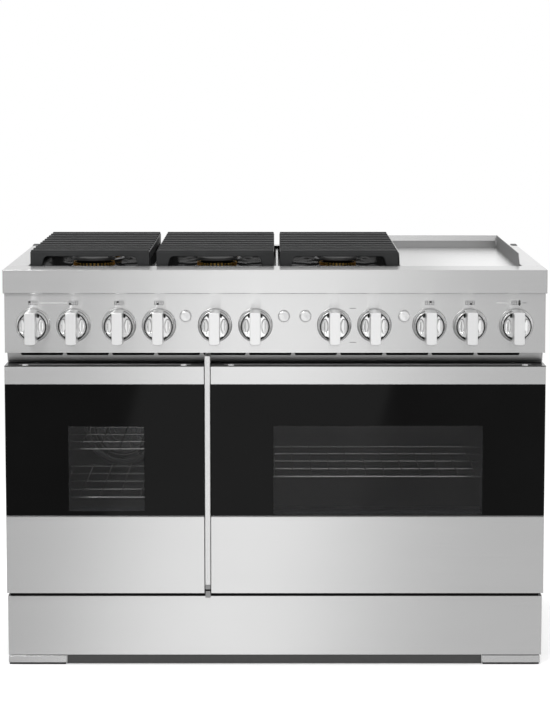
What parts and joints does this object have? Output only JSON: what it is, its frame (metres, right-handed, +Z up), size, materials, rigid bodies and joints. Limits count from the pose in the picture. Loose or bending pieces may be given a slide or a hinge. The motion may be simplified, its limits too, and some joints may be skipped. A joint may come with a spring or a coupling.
{
  "type": "gas range",
  "caption": "Free-standing double-oven gas range with burners under cast grates, a griddle, a row of turning knobs and two drop-down oven doors with black glass.",
  "frame": {"origin": "on the floor under the middle of the bounding box", "axes": "+X to the right seen from the front, -Y towards the cook, +Z up"},
  "size_m": [1.216, 0.655, 0.94],
  "materials": {
    "stainless": "brushed horizontally, satin",
    "bright_steel": "bright satin",
    "polished_knob": "polished, satin on the grip's face",
    "button_metal": "satin with a turned ring",
    "galvanised": "dull zinc",
    "black_enamel": "glossy black porcelain enamel",
    "burner_enamel": "semi-gloss black enamel",
    "cast_iron": "matte black porcelain on cast iron",
    "griddle_steel": "ground plate steel",
    "oven_enamel": "speckled dark blue-grey porcelain enamel",
    "chrome_wire": "chromed wire",
    "black_glass": "black printed tempered glass, glossy"
  },
  "bodies": {
    "body": {"side_panel_left": "stainless", "side_panel_right": "stainless", "kick_panel": "stainless", "front_foot_left": "stainless", "front_foot_right": "stainless", "front_rail": "stainless", "control_panel": "stainless", "side_trim_left": "stainless", "side_trim_right": "stainless", "rear_trim": "stainless", "divider_strip": "bright_steel", "griddle_surround": "bright_steel", "back_panel": "galvanised", "base_pan": "galvanised", "centre_partition": "galvanised", "gas_manifold": "galvanised", "griddle_burner": "galvanised", "oven_burner_left": "galvanised", "oven_burner_right": "galvanised", "vent_strip": "black_enamel", "cooktop_deck": "black_enamel", "rear_leg_left": "black_enamel", "rear_leg_right": "black_enamel", "burner_left_front": "burner_enamel", "burner_left_rear": "burner_enamel", "burner_middle_front": "burner_enamel", "burner_middle_rear": "burner_enamel", "burner_right_front": "burner_enamel", "burner_right_rear": "burner_enamel", "griddle_plate": "griddle_steel", "oven_liner_left": "oven_enamel", "oven_liner_right": "oven_enamel"},
    "door_left": {"door_frame_left": "stainless", "door_glass_left": "black_glass", "door_liner_left": "oven_enamel"},
    "door_right": {"door_frame_right": "stainless", "door_glass_right": "black_glass", "door_liner_right": "oven_enamel"},
    "knob_burner_left_front": {"knob_burner_left_front": "polished_knob"},
    "knob_burner_left_rear": {"knob_burner_left_rear": "polished_knob"},
    "knob_burner_middle_front": {"knob_burner_middle_front": "polished_knob"},
    "knob_burner_middle_rear": {"knob_burner_middle_rear": "polished_knob"},
    "knob_oven_left_mode": {"knob_oven_left_mode": "polished_knob"},
    "knob_oven_left_heat": {"knob_oven_left_heat": "polished_knob"},
    "knob_oven_right_mode": {"knob_oven_right_mode": "polished_knob"},
    "knob_oven_right_heat": {"knob_oven_right_heat": "polished_knob"},
    "knob_burner_right_front": {"knob_burner_right_front": "polished_knob"},
    "knob_burner_right_rear": {"knob_burner_right_rear": "polished_knob"},
    "knob_griddle": {"knob_griddle": "polished_knob"},
    "button_oven_left_light": {"button_oven_left_light": "button_metal"},
    "button_timer": {"button_timer": "button_metal"},
    "button_clock": {"button_clock": "button_metal"},
    "button_oven_right_light": {"button_oven_right_light": "button_metal"},
    "grate_left": {"grate_left": "cast_iron"},
    "grate_middle": {"grate_middle": "cast_iron"},
    "grate_right": {"grate_right": "cast_iron"},
    "rack_left_upper": {"rack_left_upper": "chrome_wire"},
    "rack_left_lower": {"rack_left_lower": "chrome_wire"},
    "rack_right": {"rack_right": "chrome_wire"},
    "fan_left": {"fan_left": "galvanised"}
  },
  "joints": [
    {"name": "door_left_hinge", "type": "hinge", "parent": "body", "child": "door_left", "pos_m": [-0.38275, -0.2575, 0.18], "axis": [1, 0, 0], "range_deg": [0, 90]},
    {"name": "door_right_hinge", "type": "hinge", "parent": "body", "child": "door_right", "pos_m": [0.23125, -0.2575, 0.18], "axis": [1, 0, 0], "range_deg": [0, 90]},
    {"name": "knob_burner_left_front_turn", "type": "hinge", "parent": "body", "child": "knob_burner_left_front", "pos_m": [-0.542, -0.265, 0.7795], "axis": [0, -1, 0], "range_deg": [0, 270]},
    {"name": "knob_burner_left_rear_turn", "type": "hinge", "parent": "body", "child": "knob_burner_left_rear", "pos_m": [-0.4515, -0.265, 0.7795], "axis": [0, -1, 0], "range_deg": [0, 270]},
    {"name": "knob_burner_middle_front_turn", "type": "hinge", "parent": "body", "child": "knob_burner_middle_front", "pos_m": [-0.3495, -0.265, 0.7795], "axis": [0, -1, 0], "range_deg": [0, 270]},
    {"name": "knob_burner_middle_rear_turn", "type": "hinge", "parent": "body", "child": "knob_burner_middle_rear", "pos_m": [-0.26, -0.265, 0.7795], "axis": [0, -1, 0], "range_deg": [0, 270]},
    {"name": "knob_oven_left_mode_turn", "type": "hinge", "parent": "body", "child": "knob_oven_left_mode", "pos_m": [-0.1345, -0.265, 0.7795], "axis": [0, -1, 0], "range_deg": [0, 300]},
    {"name": "knob_oven_left_heat_turn", "type": "hinge", "parent": "body", "child": "knob_oven_left_heat", "pos_m": [-0.044, -0.265, 0.7795], "axis": [0, -1, 0], "range_deg": [0, 300]},
    {"name": "knob_oven_right_mode_turn", "type": "hinge", "parent": "body", "child": "knob_oven_right_mode", "pos_m": [0.1325, -0.265, 0.7795], "axis": [0, -1, 0], "range_deg": [0, 300]},
    {"name": "knob_oven_right_heat_turn", "type": "hinge", "parent": "body", "child": "knob_oven_right_heat", "pos_m": [0.2225, -0.265, 0.7795], "axis": [0, -1, 0], "range_deg": [0, 300]},
    {"name": "knob_burner_right_front_turn", "type": "hinge", "parent": "body", "child": "knob_burner_right_front", "pos_m": [0.346, -0.265, 0.7795], "axis": [0, -1, 0], "range_deg": [0, 270]},
    {"name": "knob_burner_right_rear_turn", "type": "hinge", "parent": "body", "child": "knob_burner_right_rear", "pos_m": [0.4365, -0.265, 0.7795], "axis": [0, -1, 0], "range_deg": [0, 270]},
    {"name": "knob_griddle_turn", "type": "hinge", "parent": "body", "child": "knob_griddle", "pos_m": [0.54, -0.265, 0.7795], "axis": [0, -1, 0], "range_deg": [0, 270]},
    {"name": "button_oven_left_light_press", "type": "slide", "parent": "body", "child": "button_oven_left_light", "axis": [0, 1, 0], "range_m": [0, 0.0025], "stiffness_N_per_m": 400, "springref_m": -0.001},
    {"name": "button_timer_press", "type": "slide", "parent": "body", "child": "button_timer", "axis": [0, 1, 0], "range_m": [0, 0.0025], "stiffness_N_per_m": 400, "springref_m": -0.001},
    {"name": "button_clock_press", "type": "slide", "parent": "body", "child": "button_clock", "axis": [0, 1, 0], "range_m": [0, 0.0025], "stiffness_N_per_m": 400, "springref_m": -0.001},
    {"name": "button_oven_right_light_press", "type": "slide", "parent": "body", "child": "button_oven_right_light", "axis": [0, 1, 0], "range_m": [0, 0.0025], "stiffness_N_per_m": 400, "springref_m": -0.001},
    {"name": "grate_left_lift", "type": "slide", "parent": "body", "child": "grate_left", "axis": [0, 0, 1], "range_m": [0, 0.06]},
    {"name": "grate_middle_lift", "type": "slide", "parent": "body", "child": "grate_middle", "axis": [0, 0, 1], "range_m": [0, 0.06]},
    {"name": "grate_right_lift", "type": "slide", "parent": "body", "child": "grate_right", "axis": [0, 0, 1], "range_m": [0, 0.06]},
    {"name": "rack_left_upper_slide", "type": "slide", "parent": "body", "child": "rack_left_upper", "axis": [0, -1, 0], "range_m": [0, 0.045]},
    {"name": "rack_left_lower_slide", "type": "slide", "parent": "body", "child": "rack_left_lower", "axis": [0, -1, 0], "range_m": [0, 0.045]},
    {"name": "rack_right_slide", "type": "slide", "parent": "body", "child": "rack_right", "axis": [0, -1, 0], "range_m": [0, 0.045]},
    {"name": "fan_left_spin", "type": "hinge", "parent": "body", "child": "fan_left", "pos_m": [-0.38, 0.26, 0.455], "axis": [0, -1, 0], "continuous": true}
  ]
}
